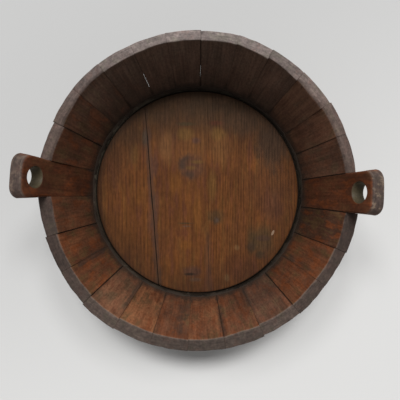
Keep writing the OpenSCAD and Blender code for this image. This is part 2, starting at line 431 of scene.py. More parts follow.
def board_material(name, ring_pitch, ring_share, soft_share, marks, chips=()):
    """A bottom board: soft streaks, broken lines of late wood a pitch apart, marks, painted shade and a dusty
    film towards the back, and an edge darkened by dirt and painted shade.
    """
    g = Graph(name)
    place = g.place()
    x, y, z = g.split(place)
    tone, seam, joint = g.split(g.field("look"))
    across = g.math("MULTIPLY_ADD", g.noise(place, 12, 4, 12, 2), 14 * MM, x)
    grain = g.join(across, y, z)
    cloud = g.noise(place, 16, 8, 16)
    blotch = g.noise(place, 80, 40, 80)
    soft = g.noise(grain, 60, 4, 40)
    hue = g.noise(grain, 95, 15, 60, 4, 0.6)
    mottle = g.noise(place, 230, 120, 230, 2)
    fine = g.noise(grain, 420, 24, 300, 3, 0.6)
    frayed = g.add(g.times(blotch, 1.2), g.times(mottle, 0.5), g.times(hue, 0.9))

    def add_mark(under, x, y, wide, tall, colour, share, turn=0.0, blur=0.6):
        fray = g.math("MULTIPLY_ADD", frayed, blur / FRAY_MIDDLE, -blur)
        off = g.add(g.off_mark(place, x, y, wide, tall, turn), fray)
        return g.mix(g.times(g.fade(off, 1.0 + blur / 2, 1.0 - blur), share), under, colour)

    body = g.ramp(g.add(tone, g.wobble(cloud, 0.45), g.wobble(soft, soft_share)), BOARD_TONES)
    clouded = g.vary(cloud, 0.4)
    body = g.mix(g.times(g.fade(hue, 0.52, 0.66), 0.5), body, g.scale(PLUM_WOOD, clouded))
    body = g.mix(g.times(g.fade(hue, 0.48, 0.34), 0.5), body, g.scale(GOLD_WOOD, clouded))
    # A dusty film and painted shade darken the back of the bottom; at its very back edge the colour turns
    # paler, as painted light against the shadow that the lamps cast there
    dust_and_shade = g.times(g.rise(y, 50, 170), g.span(cloud, 0.5, 1.1))
    body = g.mix(dust_and_shade, body, g.mix(g.rise(y, 165, 198), *DUST_SHADE_AND_LIGHT))
    for row in marks:
        body = add_mark(body, *row)
    ring = g.math("PINGPONG", g.math("DIVIDE", across, ring_pitch), 0.5)
    late = g.times(g.fade(ring, 0.20, 0.40), g.fade(g.noise(grain, 150, 30, 100, 2), 0.36, 0.56))
    body = g.mix(g.times(late, ring_share), body, g.scale(body, 0.45))
    body = g.scale(body, g.times(g.vary(fine, 0.55), g.vary(blotch, 0.3), g.vary(mottle, 0.3)))
    body = g.stretch(body, 0.97, 0.92, 0.86)
    unchipped = body
    for row in chips:
        body = add_mark(body, *row)
    under = g.fade(z, BOTTOM_TOP - 2 * MM, BOTTOM_LOW)
    body = g.mix(under, body, unchipped)

    # The edge: painted shade towards the wall, stronger at the front; dirt, more on the left; a black ring of
    # painted shade in the groove at the very edge; then dark joints and stains
    from_axis = g.off_axis(place)
    shade = g.times(g.rise(from_axis, 115, 200), g.span(g.rise(y, 80, -140), 0.10, 0.45))
    soiled = g.times(g.rise(g.add(from_axis, g.wobble(blotch, 4 * MM)), 182, 200.5),
                     g.span(g.rise(x, 40, -120), 0.35, 0.6))
    ends = g.rise(g.add(from_axis, g.wobble(blotch, 0.8 * MM)), 200, 201.2)
    reach = g.span(g.noise(place, 90, 50, 90), 0.2 * MM, 1.8 * MM)
    line = g.times(g.fade(g.math("DIVIDE", seam, reach), 1.3, 0.3), joint)
    stain = g.times(g.rise(g.add(seam, g.wobble(blotch, 5 * MM)), 9, 2), joint, 0.5)
    body = g.mix(stain, body, SEAM_STAIN)
    body = g.mix(g.most(shade, soiled, ends, line), body, DIRT_AND_SHADE)
    body = g.mix(g.times(under, g.span(cloud, 0.3, 0.8)), body, BOARD_UNDER)

    relief = g.add(g.times(late, 0.6 * ring_share), g.times(fine, 0.4), g.times(blotch, 0.7))
    g.set(Base_Color=body, Roughness=g.span(blotch, 0.48, 0.70), Normal=g.bump(relief, 0.4 * MM),
          Specular_IOR_Level=0.05)
    return g.owner


def pitch_material():
    """Old pitch: black in the crack beside the boards, as dirt and painted shade, then a grey, dusty coat
    with painted light on it, and dirt up the wall.
    """
    g = Graph("pitch")
    place = g.place()
    crown = g.split(g.field("look"))[0]
    x, y, _ = g.split(place)
    lump = g.noise(place, 60, 60, 60)
    patch = g.noise(place, 26, 26, 26)
    speck = g.noise(place, 120, 120, 120, 2)
    grit = g.noise(place, 500, 500, 500, 2, 0.6)
    up = g.add(crown, g.wobble(lump, 1.1))
    coat = g.mix(grit, (0.017, 0.013, 0.0095), (0.054, 0.041, 0.030))
    # Painted light: the coat paler to the left and a little darker at the front
    lit = g.times(g.span(g.rise(y, -120, -200), 0.555, 0.48), g.span(g.rise(x, 140, -190), 0.85, 1.7))
    coat = g.scale(coat, g.times(g.vary(g.fade(patch, 0.32, 0.68), 0.6), lit))
    coat = g.mix(g.fade(speck, 0.68, 0.78), coat, (0.095, 0.078, 0.058))
    # The crack: dark as painted shade, paler at the back and to the left as painted light against its own
    # shadow
    crack = g.mix(g.rise(y, -120, 60), (0.013, 0.009, 0.006), (0.040, 0.034, 0.025))
    crack = g.scale(crack, g.span(g.rise(x, 80, -160), 0.8, 1.8))
    colour = g.mix(g.fade(up, 0.16, 0.52), crack, coat)
    colour = g.mix(g.fade(up, 0.5, 0.85), colour, g.scale((0.028, 0.020, 0.015), g.vary(patch, 0.4)))
    g.set(Base_Color=colour, Roughness=g.span(lump, 0.55, 0.85), Specular_IOR_Level=0.1,
          Normal=g.bump(g.add(lump, g.times(grit, 0.3)), 1.0 * MM))
    return g.owner


def iron_material(name, bare_share):
    """Wrought iron: dark scale, brown rust in patches, and brighter metal where it is rubbed."""
    g = Graph(name)
    place = g.place()
    worn = g.split(g.field("look"))[2]
    patch = g.noise(place, 30, 30, 55, 5, 0.65)
    grit = g.noise(place, 420, 420, 420, 3, 0.6)
    hammer = g.noise(place, 75, 75, 75, 2, 0.45)
    rust = g.fade(g.add(patch, g.wobble(grit, 0.2)), 0.50, 0.68)
    colour = g.mix(grit, (0.020, 0.018, 0.017), (0.055, 0.050, 0.047))
    colour = g.mix(rust, colour, g.mix(grit, (0.030, 0.014, 0.009), (0.092, 0.038, 0.018)))
    rub = g.times(g.fade(g.add(worn, g.wobble(hammer, 0.3)), 0.45, 0.9), bare_share)
    colour = g.mix(rub, colour, (0.24, 0.22, 0.20))
    metal = g.times(g.span(rust, 1, 0), 0.75)
    rough = g.add(g.span(rust, 0.46, 0.85), g.wobble(grit, 0.08))
    relief = g.add(g.times(hammer, 1.2), g.times(grit, 0.35), g.times(rust, 0.5))
    g.set(Base_Color=colour, Metallic=metal, Roughness=rough, Normal=g.bump(relief, 0.9 * MM))
    return g.owner


def dowel_material():
    g = Graph("dowel_wood")
    fine = g.noise(g.place(), 40, 500, 500, 3, 0.6)
    g.set(Base_Color=g.mix(fine, (0.14, 0.07, 0.03), (0.36, 0.22, 0.11)), Roughness=g.span(fine, 0.55, 0.75))
    return g.owner


def floor_material():
    """Plain pale studio paper, painted a little lighter towards the front and the right as painted light."""
    g = Graph("studio_floor")
    x, y, _ = g.split(g.place())
    share = g.fade(g.add(g.times(x, 0.30), g.times(y, -0.55)), -0.25, 0.28)
    g.set(Base_Color=g.mix(share, (0.510, 0.510, 0.506), (0.630, 0.628, 0.620)), Roughness=0.9,
          Specular_IOR_Level=0.1)
    return g.owner


# Staves

# Tone from dark (0) to orange (1), share of grey (on the back staves grey wood and a painted sheen) and
# paleness of the worn rim, in the order of the staves
TONES = {"back": [0.40, 0.72, 0.92, 0.36, 0.72, 0.34, 0.60, 0.55, 0.18, 0.14, 0.24, 0.31],
         "front": [0.48, 0.42, 0.45, 0.80, 0.95, 0.52, 0.66, 0.54, 0.40, 0.42, 0.45, 0.00]}
GREYS_AND_SHEEN = {"back": [0.35, 0.45, 0.60, 0.75, 0.80, 0.80, 0.80, 0.80, 0.75, 0.55, 0.25, 0.12],
         "front": [0.10, 0.00, 0.00, 0.30, 0.10, 0.12, 0.07, 0.10, 0.28, 0.00, 0.00, 0.00]}
RIM_SHADES = {"back": [0.95, 1.00, 1.05, 0.80, 0.88, 0.88, 0.98, 0.91, 0.85, 0.72, 0.80, 0.95],
              "front": [0.75, 0.74, 0.91, 1.19, 1.09, 0.94, 0.86, 1.00, 1.23, 0.88, 0.87, 0.60]}
# How far the rim stands out at each stave's first and last edge, in mm
RIM_STEPS = {"back": [(-0.7, -1.4), (-1.2, 0.5), (-2.2, -1.8), (-2.5, -0.2), (-1.8, 0.7), (0.2, -1.3),
                      (0.3, 0.7), (-0.4, -1.1), (-1, 0.2), (0.7, 0.8), (0.8, -1.2), (-4, -0.2)],
             "front": [(-2, -4.7), (-2.5, -2.3), (-2, 0.5), (3, 3), (2, 1.3), (1.5, 1.3),
                       (1, 1.3), (1.3, 1.2), (-0.8, 0.2), (1.2, -0.5), (-0.8, 1.4), (2.5, 4)]}
# How far out the inner face stands at the rim, in mm
INNER_STEPS = {"back": [-0.5, -0.6, -1.9, 0.6, 0.9, 1.5, 0.4, 1.5, -0.4, 1.2, -1.4, -2.5],
               "front": [-5, -2.8, -2.8, -2.8, -3.3, -2.4, -1.7, -4.8, -2.2, -3.4, -1.6, -3.6]}
# How open and dark each joint is, from 0 to 1, on from the right ear and on from the left one
JOINTS = {"back": [1, 0.7, 0.25, 0.25, 0.1, 0.05, 0.8, 0.15, 0.3, 0.35, 0.2, 1, 0.3],
          "front": [0.2, 1, 0.1, 1, 0.35, 0.3, 0.05, 0.5, 0.1, 0.9, 0.1, 0.8, 1]}
# The same where a joint crosses the rim
RIM_JOINTS = {"back": [0.3, 0.6, 0, 0.35, 0.5, 0, 0.6, 0, 0.1, 0.15, 0, 0.9, 0.2],
              "front": [0.2, 0.6, 0, 0.7, 0, 0, 0, 0.1, 0, 0.1, 0, 0.4, 0.2]}
# Joints that let light through: lowest and highest place on the inner face and width, in mm
SLITS = {("back", 6): (80, 110, 0.30), ("back", 8): (78, 119, 0.34)}
SIGHT_FALL, SLIT_FADE = 1.55, 6 * MM
# Smears of grime: bearing in degrees, half width, lowest and highest place in mm, and share
SMEARS = [(212, 6, 57, 155, 1.2), (238, 5, 60, 150, 0.85), (252, 5, 80, 140, 0.7), (263, 14, 70, 170, 0.75),
          (280.5, 6, 80, 175, 0.9), (294.8, 6, 55, 120, 0.9), (303, 10, 50, 80, 0.7), (324.8, 9, 65, 95, 0.9),
          (325, 5, 100, 170, 0.6), (345, 18, 50, 90, 0.5)]
SMEAR_FADE = 12
FIRST_SEED = {"back": 1, "front": 13}
GRAIN_SHIFT = np.array([0.37, 0.71, 0.53])
OPEN_GAP, SHUT_GAP, RIM_OPENS = 0.4 * MM, -0.06 * MM, 0.4
JOINT_SHUTS, OUTER_HALF = (0.30 * LEVEL_T, 0.55 * LEVEL_T), (0.5 * LEVEL_T, 0.9 * LEVEL_T)
COLUMN_PITCH, ROW_PITCH, DEPTH_PITCH, ROW_CLEAR = 0.09, 4.5 * MM, 3 * MM, 1.2 * MM
EDGE_STEPS = np.array([0, 0.5, 1.1, 2.0, 3.4]) * MM
SHEET_HALF = 60 * MM
JOINT_EDGE, JOINT_DEPTH, TIGHT_EDGE, TIGHT_DEPTH = 0.4 * MM, 1.0 * MM, 0.05, 0.1
RIM_EDGE_FRONT, RIM_EDGE_BACK, RIM_EDGE_OUT = 2.4 * MM, 1.5 * MM, 1.4 * MM
RIM_FLARE, RIM_FALL = 1.4 * MM, 1.6 * MM
FLATNESS, FLAT_LOSS = 0.5, 0.7
DEPTH_STEP, HEIGHT_STEP = 0.25 * MM, 0.6 * MM


def eased(values, n):
    """A stave's value at its first edge, middle and last edge, level with its neighbours at the joints."""
    before, here, after = values[max(n - 1, 0)], values[n], values[min(n + 1, len(values) - 1)]
    return (before + here) / 2, here, (here + after) / 2


def joint_gap(openness, rim_openness, slit, z, rho):
    """Width of a joint: open at the inner face, shut in the wall's outer half apart from a slit."""
    opened = blend(openness, RIM_OPENS * rim_openness, rise(z, -12, -4, RIM_Z))
    share = smooth_step(rho, *JOINT_SHUTS)
    gap = OPEN_GAP * opened * (1 - share) + SHUT_GAP * share
    if slit:
        low, high, wide = np.array(slit) * MM
        at = z + SIGHT_FALL * rho
        lit = smooth_step(at, low - SLIT_FADE, low) * smooth_step(at, high + SLIT_FADE, high)
        gap = np.maximum(gap, wide * lit)
    return gap


def behind_cuts(z, rho):
    """Depth in the wall once the foot's bevel and the croze are cut from its inner face at height z."""
    floor = [CROZE_R - wall_in(level) for level in (FLOOR_LOW, FLOOR_HIGH)]
    cut = np.interp(z, [0, *CUT_LEVELS], [FOOT_BEVEL_Z, 0, 0, *floor, 0])
    return cut + rho * (LEVEL_T - cut) / LEVEL_T


def stave_rows():
    rows = steps(RIM_Z, ROW_PITCH, EDGE_STEPS)
    keep = np.abs(rows[:, None] - CUT_LEVELS).min(axis=1) > ROW_CLEAR
    return np.sort(np.concatenate((rows[keep], CUT_LEVELS)))


def smeared(bearing, z):
    """Share of grime at places on the inner face."""
    share = np.zeros_like(z)
    for degrees, half_wide, low, high, most in SMEARS:
        turn = turned(bearing, math.radians(degrees))
        across = np.exp(-(turn * wall_in(z) / (half_wide * MM)) ** 2)
        along = rise(z, low - SMEAR_FADE, low + SMEAR_FADE) * rise(z, high + SMEAR_FADE, high - SMEAR_FADE)
        share = np.maximum(share, most * across * along)
    return share


def plain_stave(side, n, material):
    """Stave n of the back or the front: a rounded box, bent to the wall and worn, with painted highlight and
    shade marked at its rim's inner edge.
    """
    node, seed = f"{side}_stave_{n + 1:02d}", FIRST_SEED[side] + n
    joints, rim_joints = JOINTS[side][n:n + 2], RIM_JOINTS[side][n:n + 2]
    first, last = bearing_span(points(node))
    middle, half = (first + last) / 2, (last - first) / 2
    back = math.sin(middle)
    us = steps(2, COLUMN_PITCH, EDGE_STEPS / (wall_mid(RIM_Z) * half)) - 1
    grid, quads = box_grid(us, stave_rows(), steps(LEVEL_T, DEPTH_PITCH, EDGE_STEPS))
    u, z, rho = grid.T
    sheet = triples(u * SHEET_HALF, z, rho)
    half_w = wall_mid(z) * half
    gaps = [joint_gap(joints[k], rim_joints[k], SLITS.get((side, n + k)), z, rho) for k in (0, 1)]
    low, high = triples(-half_w + gaps[0] / 2, 0, 0), triples(half_w - gaps[1] / 2, RIM_Z, LEVEL_T)
    box = triples(low[:, 0] + (u + 1) / 2 * (high - low)[:, 0], z, rho)
    near_rim = rise(z, -7, -2, RIM_Z)
    near_end = np.maximum(near_rim, rise(z, 6, 2))
    at_back = smooth_step(back, -0.1, 0.3)
    end_edge = np.where(rho < LEVEL_T / 2, blend(RIM_EDGE_FRONT, RIM_EDGE_BACK, at_back), RIM_EDGE_OUT)
    openness, rim_openness = np.where(u < 0, *joints), np.where(u < 0, *rim_joints)
    joint_edge = JOINT_EDGE * blend(TIGHT_EDGE, 1, blend(openness, RIM_OPENS * rim_openness, near_rim))
    joint_depth = JOINT_DEPTH * blend(TIGHT_DEPTH, 1, openness)
    radius = triples(joint_edge, end_edge, blend(joint_depth, end_edge, near_end))
    box, way = rounded(box, low, high, radius * (1 + 0.35 * lumps(sheet, 17 * MM, seed)[:, None]))
    x, z, rho = box.T

    seam = half_w - np.abs(x)
    end = np.maximum(rise(z, -1.6, -0.3, RIM_Z), rise(z, 2, 0.8))
    above_hoop = smooth_step(z, UPPER_HOOP_TOP, RIM_Z - 5 * MM)
    above_floor = rise(z, 0, 30, BOTTOM_TOP)
    rho = behind_cuts(z, rho)
    inside = 1 - rho / LEVEL_T
    z = z - RIM_FALL * (1 - inside) * rise(z, -8, -1, RIM_Z)
    rho += above_hoop * (RIM_FLARE + np.interp(u, (-1, 1), RIM_STEPS[side][n]) * MM)
    rho += inside * np.interp(u, (-1, 0, 1), eased(INNER_STEPS[side], n)) * MM * rise(z, 90, 165)
    flatness = FLATNESS * above_floor * (1 - FLAT_LOSS * rise(z, 110, 165))
    rho -= inside * flatness * (1 - u ** 2) * wall_in(z) * (1 - math.cos(half))
    own_depth = DEPTH_STEP * lumps([[seed, seed, seed]], 1, 7)[0]
    rho += inside * (own_depth + uneven(sheet, seed + 40, high=0.4, wide=34))
    rho += (1 - inside) * above_hoop * uneven(sheet, seed + 90, high=0.4, wide=22)
    own_height = HEIGHT_STEP * lumps([[seed, 0, 0]], 1.7, 3)[0]
    z = z + above_hoop * (uneven(sheet, seed + 60, high=0.5, wide=30) + own_height)
    bearing = middle + x / wall_mid(z)
    outside = smooth_step(rho, *OUTER_HALF)
    # Marks on the rim's inner edge: a painted highlight on worn wood at the front staves, which face the
    # lamps; painted shade at the back staves but the middle ones, whose edge is rubbed pale
    worn = 2 * np.abs(way[:, 1] * way[:, 2]) * smooth_step(back, 0.0, -0.4)
    worn -= at_back * smooth_step(back, 0.88, 0.70) * smooth_step(inside, 0.5, 1.0)
    worn += smooth_step(back, 0.88, 0.95) * smooth_step(inside, 0.8, 1.0)
    co = round_the_axis(bearing, wall_in(z) + rho, z)
    make_piece(f"{node}_wood", co, quads, material, "stave_wood", node,
               grain=(triples(x, z, rho) + seed * GRAIN_SHIFT).T,
               look=(TONES[side][n], GREYS_AND_SHEEN[side][n], smeared(bearing, z) * (1 - outside)),
               side=(end, outside, seam), wear=(worn * near_rim, openness, 0),
               edge=(RIM_SHADES[side][n], rim_openness, 0))


# Ears

EAR_TONE = 0.40
EAR_EDGE, HOLE_EDGE = 3.2 * MM, 1.2 * MM
EAR_CORNER_R = 16 * MM
EAR_SWELL_IN, EAR_SWELL_OUT = 1.0 * MM, 1.2 * MM
HOLE = next(m for m in frame["record"]["mounts"] if m["name"] == "right_ear_hole")
HOLE_R, HOLE_Z = HOLE["dims"]["r_mm"] * MM, HOLE["pos_m"][2]
# The rings round the hole, from the outline (1) to the hole (0), and the rows between the two faces
RINGS_BELOW, RINGS_CLEAR = 12 * MM, 3 * MM
SIDE_STEPS, CORNER_STEPS, TIP_STEPS = 12, 8, 12
RING_SHARES = 0.965, 0.91, 0.84, 0.75, 0.62, 0.5, 0.38, 0.27, 0.18, 0.11, 0.06, 0.025, 0.0
DEPTH_SHARES = 0.2, 0.4, 0.6, 0.8
# Above the rim an ear's edges count as this far from a joint
NO_JOINT = 40 * MM


def ear_grid(half, tip_z):
    """The ear stave's face: points (across at the inner face, height, spread) and quads, open at the hole."""
    def half_width(z):
        return wall_in(z) * math.sin(half)

    split_z = HOLE_Z - HOLE_R - RINGS_BELOW
    columns = steps(2, COLUMN_PITCH, EDGE_STEPS / half_width(split_z)) - 1
    rows = stave_rows()
    rows = np.append(rows[rows < split_z - RINGS_CLEAR], split_z)
    verts = [(c * half_width(z), z, 1.0) for z in rows for c in columns]
    width = len(columns)
    quads = [(r * width + c, r * width + c + 1, (r + 1) * width + c + 1, (r + 1) * width + c)
             for r in range(len(rows) - 1) for c in range(width - 1)]

    tip_half, corner_z = half_width(tip_z) - EAR_CORNER_R, tip_z - EAR_CORNER_R
    half_loop = [(half_width(z), z) for z in np.linspace(split_z, corner_z, SIDE_STEPS + 1)[1:]]
    for t in np.radians(np.linspace(0, 90, CORNER_STEPS + 1))[1:]:
        half_loop.append((tip_half + EAR_CORNER_R * math.cos(t), tip_z - EAR_CORNER_R * (1 - math.sin(t))))
    tip = [(x, tip_z) for x in np.linspace(tip_half, -tip_half, TIP_STEPS + 1)[1:-1]]
    loop = half_loop + tip + [(-x, z) for x, z in half_loop[::-1]]

    outer = list(range(len(verts) - width, len(verts) + len(loop)))
    outline = [vert[:2] for vert in verts[-width:]] + loop
    verts += [(x, z, 1.0) for x, z in loop]
    count = len(outline)
    for share in RING_SHARES:
        inner = list(range(len(verts), len(verts) + count))
        for x, z in outline:
            away = Vector((x, z - HOLE_Z))
            spot = (away.normalized() * HOLE_R).lerp(away, share)
            verts.append((spot.x, spot.y + HOLE_Z, share))
        quads += [(outer[n], outer[(n + 1) % count], inner[(n + 1) % count], inner[n]) for n in range(count)]
        outer = inner
    return np.array(verts), quads


def ear_shell(quads, count):
    """Faces of an ear's two sides and the edges between, and each point's place on the face and depth."""
    edges = [(q[n], q[(n + 1) % 4]) for q in quads for n in range(4)]
    known = set(edges)
    rim = [(a, b) for a, b in edges if (b, a) not in known]
    rim_points = sorted({v for edge in rim for v in edge})
    rows = [{v: v for v in rim_points}]
    for n in range(len(DEPTH_SHARES)):
        start = 2 * count + n * len(rim_points)
        rows.append({v: start + k for k, v in enumerate(rim_points)})
    rows.append({v: v + count for v in rim_points})
    faces = quads + [tuple(v + count for v in q[::-1]) for q in quads]
    for upper, lower in zip(rows, rows[1:]):
        faces += [(upper[b], upper[a], lower[a], lower[b]) for a, b in rim]
    source = np.concatenate([np.arange(count)] * 2 + [rim_points] * len(DEPTH_SHARES))
    depth = np.concatenate((np.zeros(count), np.ones(count), np.repeat(DEPTH_SHARES, len(rim_points))))
    return faces, source, depth


def dip(distance, radius):
    """How far a face falls back at a distance from an edge that is rounded to a radius."""
    gone = np.clip(radius - np.maximum(distance, 0), 0, radius)
    return radius - np.sqrt(np.maximum(radius ** 2 - gone ** 2, 0))


def ear_stave(node, tan, flare, joints, seed, material):
    cad = points(node)
    first, last = bearing_span(cad)
    middle, half = (first + last) / 2, (last - first) / 2
    tip_z = cad[:, 2].max()
    face, quads = ear_grid(half, tip_z)
    across, height, spread = face.T
    half_w = wall_in(height) * math.sin(half)
    corner_x = np.maximum(np.abs(across) - (wall_in(tip_z) * math.sin(half) - EAR_CORNER_R), 0)
    corner_z = np.maximum(height - (tip_z - EAR_CORNER_R), 0)
    in_corner = (corner_x > 0) & (corner_z > 0)
    to_edge = np.minimum(np.minimum(half_w - np.abs(across), tip_z - height), height)
    to_edge = np.where(in_corner, EAR_CORNER_R - np.hypot(corner_x, corner_z), to_edge)
    to_hole = np.hypot(across, height - HOLE_Z) - HOLE_R
    above_rim, swell = rise(height, -4, 5, RIM_Z), rise(height, -4, 32, RIM_Z)
    edge_r = blend(JOINT_DEPTH, EAR_EDGE, np.maximum(above_rim, rise(height, 5, 1)))
    edge_r *= 1 + 0.25 * lumps(triples(across, height, 0), 19 * MM, seed)
    edge_dip, hole_dip = dip(to_edge, edge_r), dip(to_hole, HOLE_EDGE)
    face_dip = np.maximum(edge_dip, hole_dip)
    worn = np.maximum(edge_dip / edge_r * above_rim, 0.6 * hole_dip / HOLE_EDGE)
    inner_face = face_dip - EAR_SWELL_IN * swell
    outer_face = LEVEL_T - face_dip + EAR_SWELL_OUT * swell

    faces, source, depth = ear_shell(quads, len(face))
    across, z, spread, above_rim = across[source], height[source], spread[source], above_rim[source]
    rho = behind_cuts(z, blend(inner_face[source], outer_face[source], depth))
    flat = triples(across, z, rho)
    r = wall_in(z) + rho
    wide = across * (1 + spread * (r / wall_in(z) - 1 + flare * swell[source]))
    r = r + uneven(flat, seed + 5, high=0.35, wide=30) + uneven(flat, seed + 6, high=0.15, wide=11)
    ahead = np.sqrt(r ** 2 - wide ** 2)
    co = triples(ahead * math.cos(middle) - wide * math.sin(middle),
                 ahead * math.sin(middle) + wide * math.cos(middle), z)
    end = np.maximum(rise(to_edge[source], 1.5, 0.2) * rise(z, -12, -3, tip_z), rise(z, 2, 0.8))
    seam = half_w[source] - np.abs(across) + above_rim * NO_JOINT
    outside = smooth_step(rho, *OUTER_HALF) * (1 - 0.6 * above_rim)
    on_face, bore = (depth == 0) | (depth == 1), rise(to_hole[source], 1.0, 0.0)
    make_piece(f"{node}_wood", co, faces, material, "ear_wood", node,
               grain=(flat + seed * GRAIN_SHIFT).T, look=(EAR_TONE, 0, 0), side=(end, outside, seam),
               wear=(worn[source] * on_face, np.where(across < 0, *joints), bore),
               edge=(1, 0, tan * above_rim))


# Bottom

def joint_line(node, side):
    """x = at + slope * y along a board's joint on its left (-1) or right (1) side."""
    p = points(node)
    top = p[p[:, 2] > BOTTOM_TOP - TINY]
    upper, lower = top[top[:, 1] > 0], top[top[:, 1] < 0]
    a = upper[np.argmax(side * upper[:, 0])]
    b = lower[np.argmax(side * lower[:, 0])]
    slope = (a[0] - b[0]) / (a[1] - b[1])
    return a[0] - slope * a[1], slope


board_points = points("middle_bottom_board")
board_r = radii(board_points)
HEAD_R = board_r.max()
HEAD_TOP_R = board_r[board_points[:, 2] > BOTTOM_TOP - TINY].max()
HEAD_UNDER_R = board_r[board_points[:, 2] < BOTTOM_LOW + TINY].max()
BOARD_EDGE = 0.9 * MM
OPEN_JOINT, TIGHT_JOINT = "open", "tight"
JOINT_RADIUS = {OPEN_JOINT: 0.5 * MM, TIGHT_JOINT: 0.03 * MM}
HALF_GAP = (joint_line("right_bottom_board", -1)[0] - joint_line("middle_bottom_board", 1)[0]) / 2
JOINT_SHUT = {OPEN_JOINT: 0, TIGHT_JOINT: HALF_GAP}
JOINT_TUCK = 0.06 * MM
BOARD_ROWS, BOARD_PITCH, BOARD_DEPTH_PITCH = 90, 0.03, 5 * MM
BOARD_STEPS = np.array([0, 0.1, 0.6, 1.5, 2.8, 4.5]) * MM
# A board starts and ends where it is this wide, looked for at so many places
NARROWEST, PLACES = 3 * MM, 4001
FAR_OFF = 1.0


def wandering(kind, y):
    """How far a joint between two boards strays from its straight line at y."""
    if kind != OPEN_JOINT:
        return np.zeros_like(y)
    return uneven(triples(y, 0, 0), 4, high=0.6, wide=55)


def joint_dirt(kind, y):
    """How dark a joint between two boards is: all along the open one, near the front on the tight one."""
    if kind == OPEN_JOINT:
        return 0.9 - 0.55 * rise(y, 100, 150)
    return 0.6 * rise(y, -65, -105)


def bottom_board(node, joints, tone, seed, material):
    """joints gives the kind of the board's left (-1) and right (1) joint, and leaves out a round side."""
    lines = {side: joint_line(node, side) for side in joints}

    def joint_x(side, y):
        at, slope = lines[side]
        return at + side * JOINT_SHUT[joints[side]] + slope * y + wandering(joints[side], y)

    def edge(side, y):
        arc = side * np.sqrt(np.maximum(HEAD_R ** 2 - y ** 2, 0))
        if side not in joints:
            return arc
        return side * np.minimum(side * arc, side * joint_x(side, y))

    ys = np.linspace(-HEAD_R, HEAD_R, PLACES)
    widths = edge(1, ys) - edge(-1, ys)
    wide = ys[widths > NARROWEST]
    bend = np.linspace(-math.pi / 2, math.pi / 2, BOARD_ROWS)
    vs = (wide[0] + wide[-1]) / 2 + (wide[-1] - wide[0]) / 2 * np.sin(bend)
    us = steps(1, BOARD_PITCH, BOARD_STEPS / widths.max())
    ws = steps(BOTTOM_TOP - BOTTOM_LOW, BOARD_DEPTH_PITCH, EDGE_STEPS) + BOTTOM_LOW
    grid, quads = box_grid(us, vs, ws)
    u, y, z = grid.T
    under_top = rise(z, -0.8, -2, BOTTOM_TOP)
    tucks = {side: JOINT_TUCK + HALF_GAP - JOINT_SHUT[kind] for side, kind in joints.items()}
    ends = [edge(side, y) + side * tucks.get(side, 0) * under_top for side in (-1, 1)]
    low, high = triples(ends[0], vs[0], BOTTOM_LOW), triples(ends[1], vs[-1], BOTTOM_TOP)
    box = triples(low[:, 0] + u * (high - low)[:, 0], y, z)
    radius = np.where(u < 0.5, *(JOINT_RADIUS.get(joints.get(side), BOARD_EDGE) for side in (-1, 1)))
    box, _ = rounded(box, low, high, (radius * (1 + 0.4 * lumps(grid, 25 * MM, seed)))[:, None])
    x, y, z = box.T
    r = np.hypot(x, y)
    top = np.interp(r, (HEAD_TOP_R, HEAD_R), (BOTTOM_TOP, FLOOR_HIGH))
    under = np.interp(r, (HEAD_UNDER_R, HEAD_R), (BOTTOM_LOW, FLOOR_LOW))
    z = blend(under, top, (z - BOTTOM_LOW) / (BOTTOM_TOP - BOTTOM_LOW))
    flat = triples(x, y * 0.3, z)
    z = z + (uneven(flat, 71, high=0.5, wide=45) + uneven(flat, 72, high=0.2, wide=15)) * (r < HEAD_TOP_R)
    seam, dirt = np.full_like(x, FAR_OFF), np.zeros_like(x)
    for side, kind in joints.items():
        off = np.abs(x - joint_x(side, y))
        dirt = np.where(off < seam, joint_dirt(kind, y), dirt)
        seam = np.minimum(seam, off)
    make_piece(f"{node}_wood", triples(x, y, z), quads, material, "bottom_wood", node,
               look=(tone, seam, dirt))


# Pitch seam

PITCH_AROUND, PITCH_OVER = 720, 12
PITCH_BACK, PITCH_BULGE, BULGE_SHARE = 1.0 * MM, 0.9 * MM, 0.7


def pitch_bead(material):
    """A lumpy bead from the boards up the wall, closed by points in the corner behind it."""
    p = points("pitch_seam")
    r = radii(p)
    corner = np.argmin(p[:, 2])
    inner_r = r.min() + PITCH_BACK
    count = PITCH_OVER + 1
    bearing = np.repeat(np.linspace(0, 2 * math.pi, PITCH_AROUND, endpoint=False), count)
    t = np.tile(np.append(np.linspace(0, 1, PITCH_OVER), -1.0), PITCH_AROUND)
    ring = round_the_axis(bearing, inner_r, 0)
    reach_in = inner_r + uneven(ring, 3, high=0.7, wide=60)
    reach_up = p[:, 2].max() + uneven(ring, 4, high=2.0, wide=60) + uneven(ring, 5, high=1.0, wide=17)
    share = np.clip(t, 0, 1)
    bulge = PITCH_BULGE + uneven(ring, 6, high=0.3, wide=40) + uneven(ring, 8, high=0.2, wide=13)
    bulge *= BULGE_SHARE * np.sin(share * math.pi)
    start_z = np.interp(reach_in, (HEAD_TOP_R, HEAD_R), (BOTTOM_TOP, FLOOR_HIGH))
    bead_r = np.where(t < 0, r[corner], blend(reach_in, wall_in(reach_up), share) - bulge)
    bead_z = np.where(t < 0, p[corner, 2], blend(start_z, reach_up, share) + bulge)
    faces = [(a * count + n, a * count + (n + 1) % count,
              (a + 1) % PITCH_AROUND * count + (n + 1) % count, (a + 1) % PITCH_AROUND * count + n)
             for a in range(PITCH_AROUND) for n in range(count)]
    make_piece("pitch_bead", round_the_axis(bearing, bead_r, bead_z), faces, material, "pitch", "pitch_seam",
               look=(share, 0, 0))


# Hoops

LAP_RAMP = math.radians(4)
HOOP_EDGE, HOOP_PITCH = 0.7 * MM, 5 * MM
HOOP_DEPTHS = np.array([0, 0.25, 0.6, 0.75, 1])
